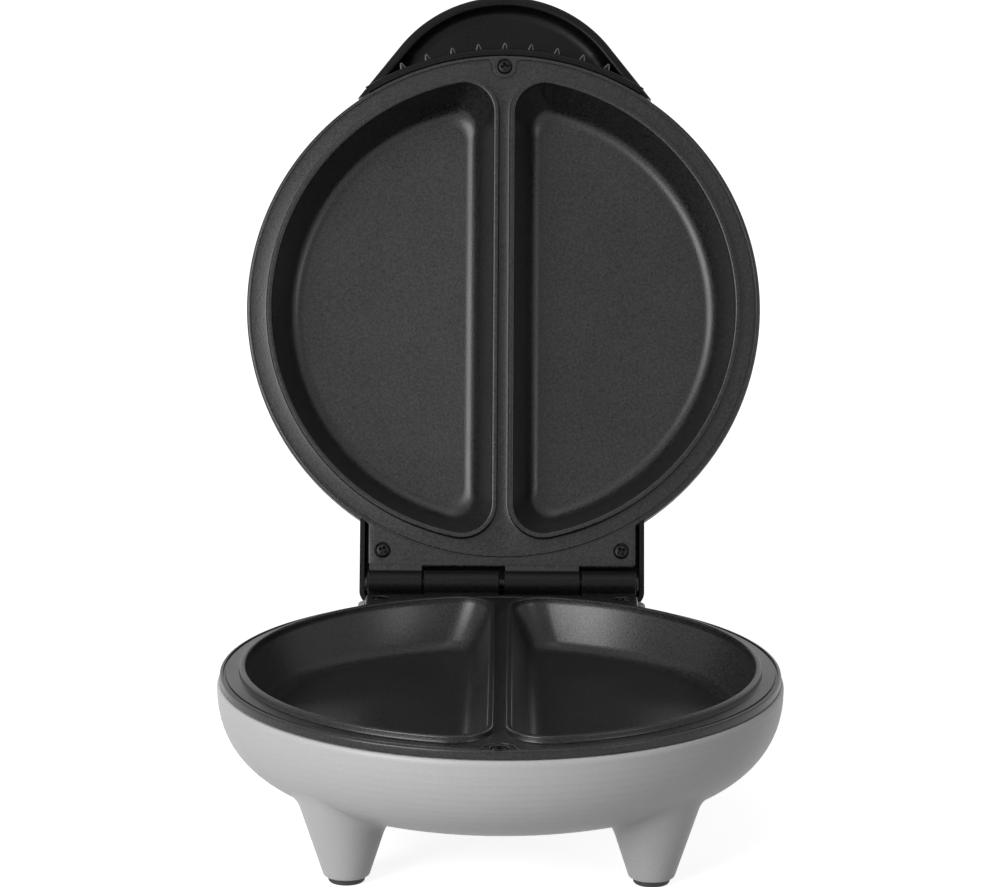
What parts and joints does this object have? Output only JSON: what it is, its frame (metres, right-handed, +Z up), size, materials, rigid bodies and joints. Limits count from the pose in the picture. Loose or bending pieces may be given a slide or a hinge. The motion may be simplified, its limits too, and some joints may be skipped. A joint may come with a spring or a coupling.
{
  "type": "electric omelette maker",
  "caption": "Round electric omelette maker with a hinged lid, half-moon non-stick pockets in both plates, a ribbed front handle and cone feet.",
  "frame": {"origin": "on the ground, half-way from the front to the back of the open object, on its centre plane", "axes": "+Z up, -Y the front, where the handle closes; +X to the right of someone at the front"},
  "size_m": [0.2162, 0.3303, 0.3032],
  "materials": {
    "silver_shell": "silver moulded plastic, satin",
    "coated_plate": "cast, black non-stick coating with a fine grain",
    "black_plastic": "black moulded plastic, semi-gloss",
    "element_tube": "dull steel sheath",
    "reflector_sheet": "bright sheet",
    "plated_strip": "plated strip",
    "screw_steel": "plated screw",
    "pin_steel": "bright steel",
    "ceramic": "unglazed ivory ceramic",
    "rubber": "dark grey rubber",
    "lead_sleeve": "glass-braid sleeve",
    "red_lens": "clear red moulding",
    "green_lens": "clear green moulding",
    "lamp_glass": "clear glass",
    "holder_plastic": "natural heat-proof plastic"
  },
  "bodies": {
    "base": {"lower_shell": "silver_shell", "base_plate": "coated_plate", "base_element": "element_tube", "base_element_bushes": "ceramic", "base_element_clamps": "plated_strip", "base_clamp_screws": "screw_steel", "base_reflector": "reflector_sheet", "base_reflector_screws": "screw_steel", "thermostat": "screw_steel", "sensor_screws": "screw_steel", "thermal_fuse": "screw_steel", "fuse_clip": "plated_strip", "terminal_block": "ceramic", "base_leads": "lead_sleeve", "cord_gland": "rubber", "foot_pad_front_left": "rubber", "foot_pad_front_right": "rubber", "foot_pad_rear_left": "rubber", "foot_pad_rear_right": "rubber", "base_plate_screws": "screw_steel", "hinge_pin": "pin_steel", "pin_retainer": "pin_steel"},
    "lid": {"lid_plate": "coated_plate", "lid_element": "element_tube", "lid_element_bushes": "ceramic", "lid_element_clamps": "plated_strip", "lid_clamp_screws": "screw_steel", "lid_reflector": "reflector_sheet", "lid_reflector_screws": "screw_steel", "lid_frame": "black_plastic", "lid_plate_screws": "screw_steel", "handle": "black_plastic", "handle_screws": "screw_steel", "lid_cover": "silver_shell", "lid_cover_screws": "screw_steel", "power_lens": "red_lens", "ready_lens": "green_lens", "power_lamp": "lamp_glass", "ready_lamp": "lamp_glass", "lamp_holder": "holder_plastic", "lid_leads": "lead_sleeve"}
  },
  "joints": [
    {"name": "lid_hinge", "type": "hinge", "parent": "base", "child": "lid", "pos_m": [0, 0.0598, 0.0682], "axis": [1, 0, 0], "range_deg": [0, 109.1]}
  ]
}
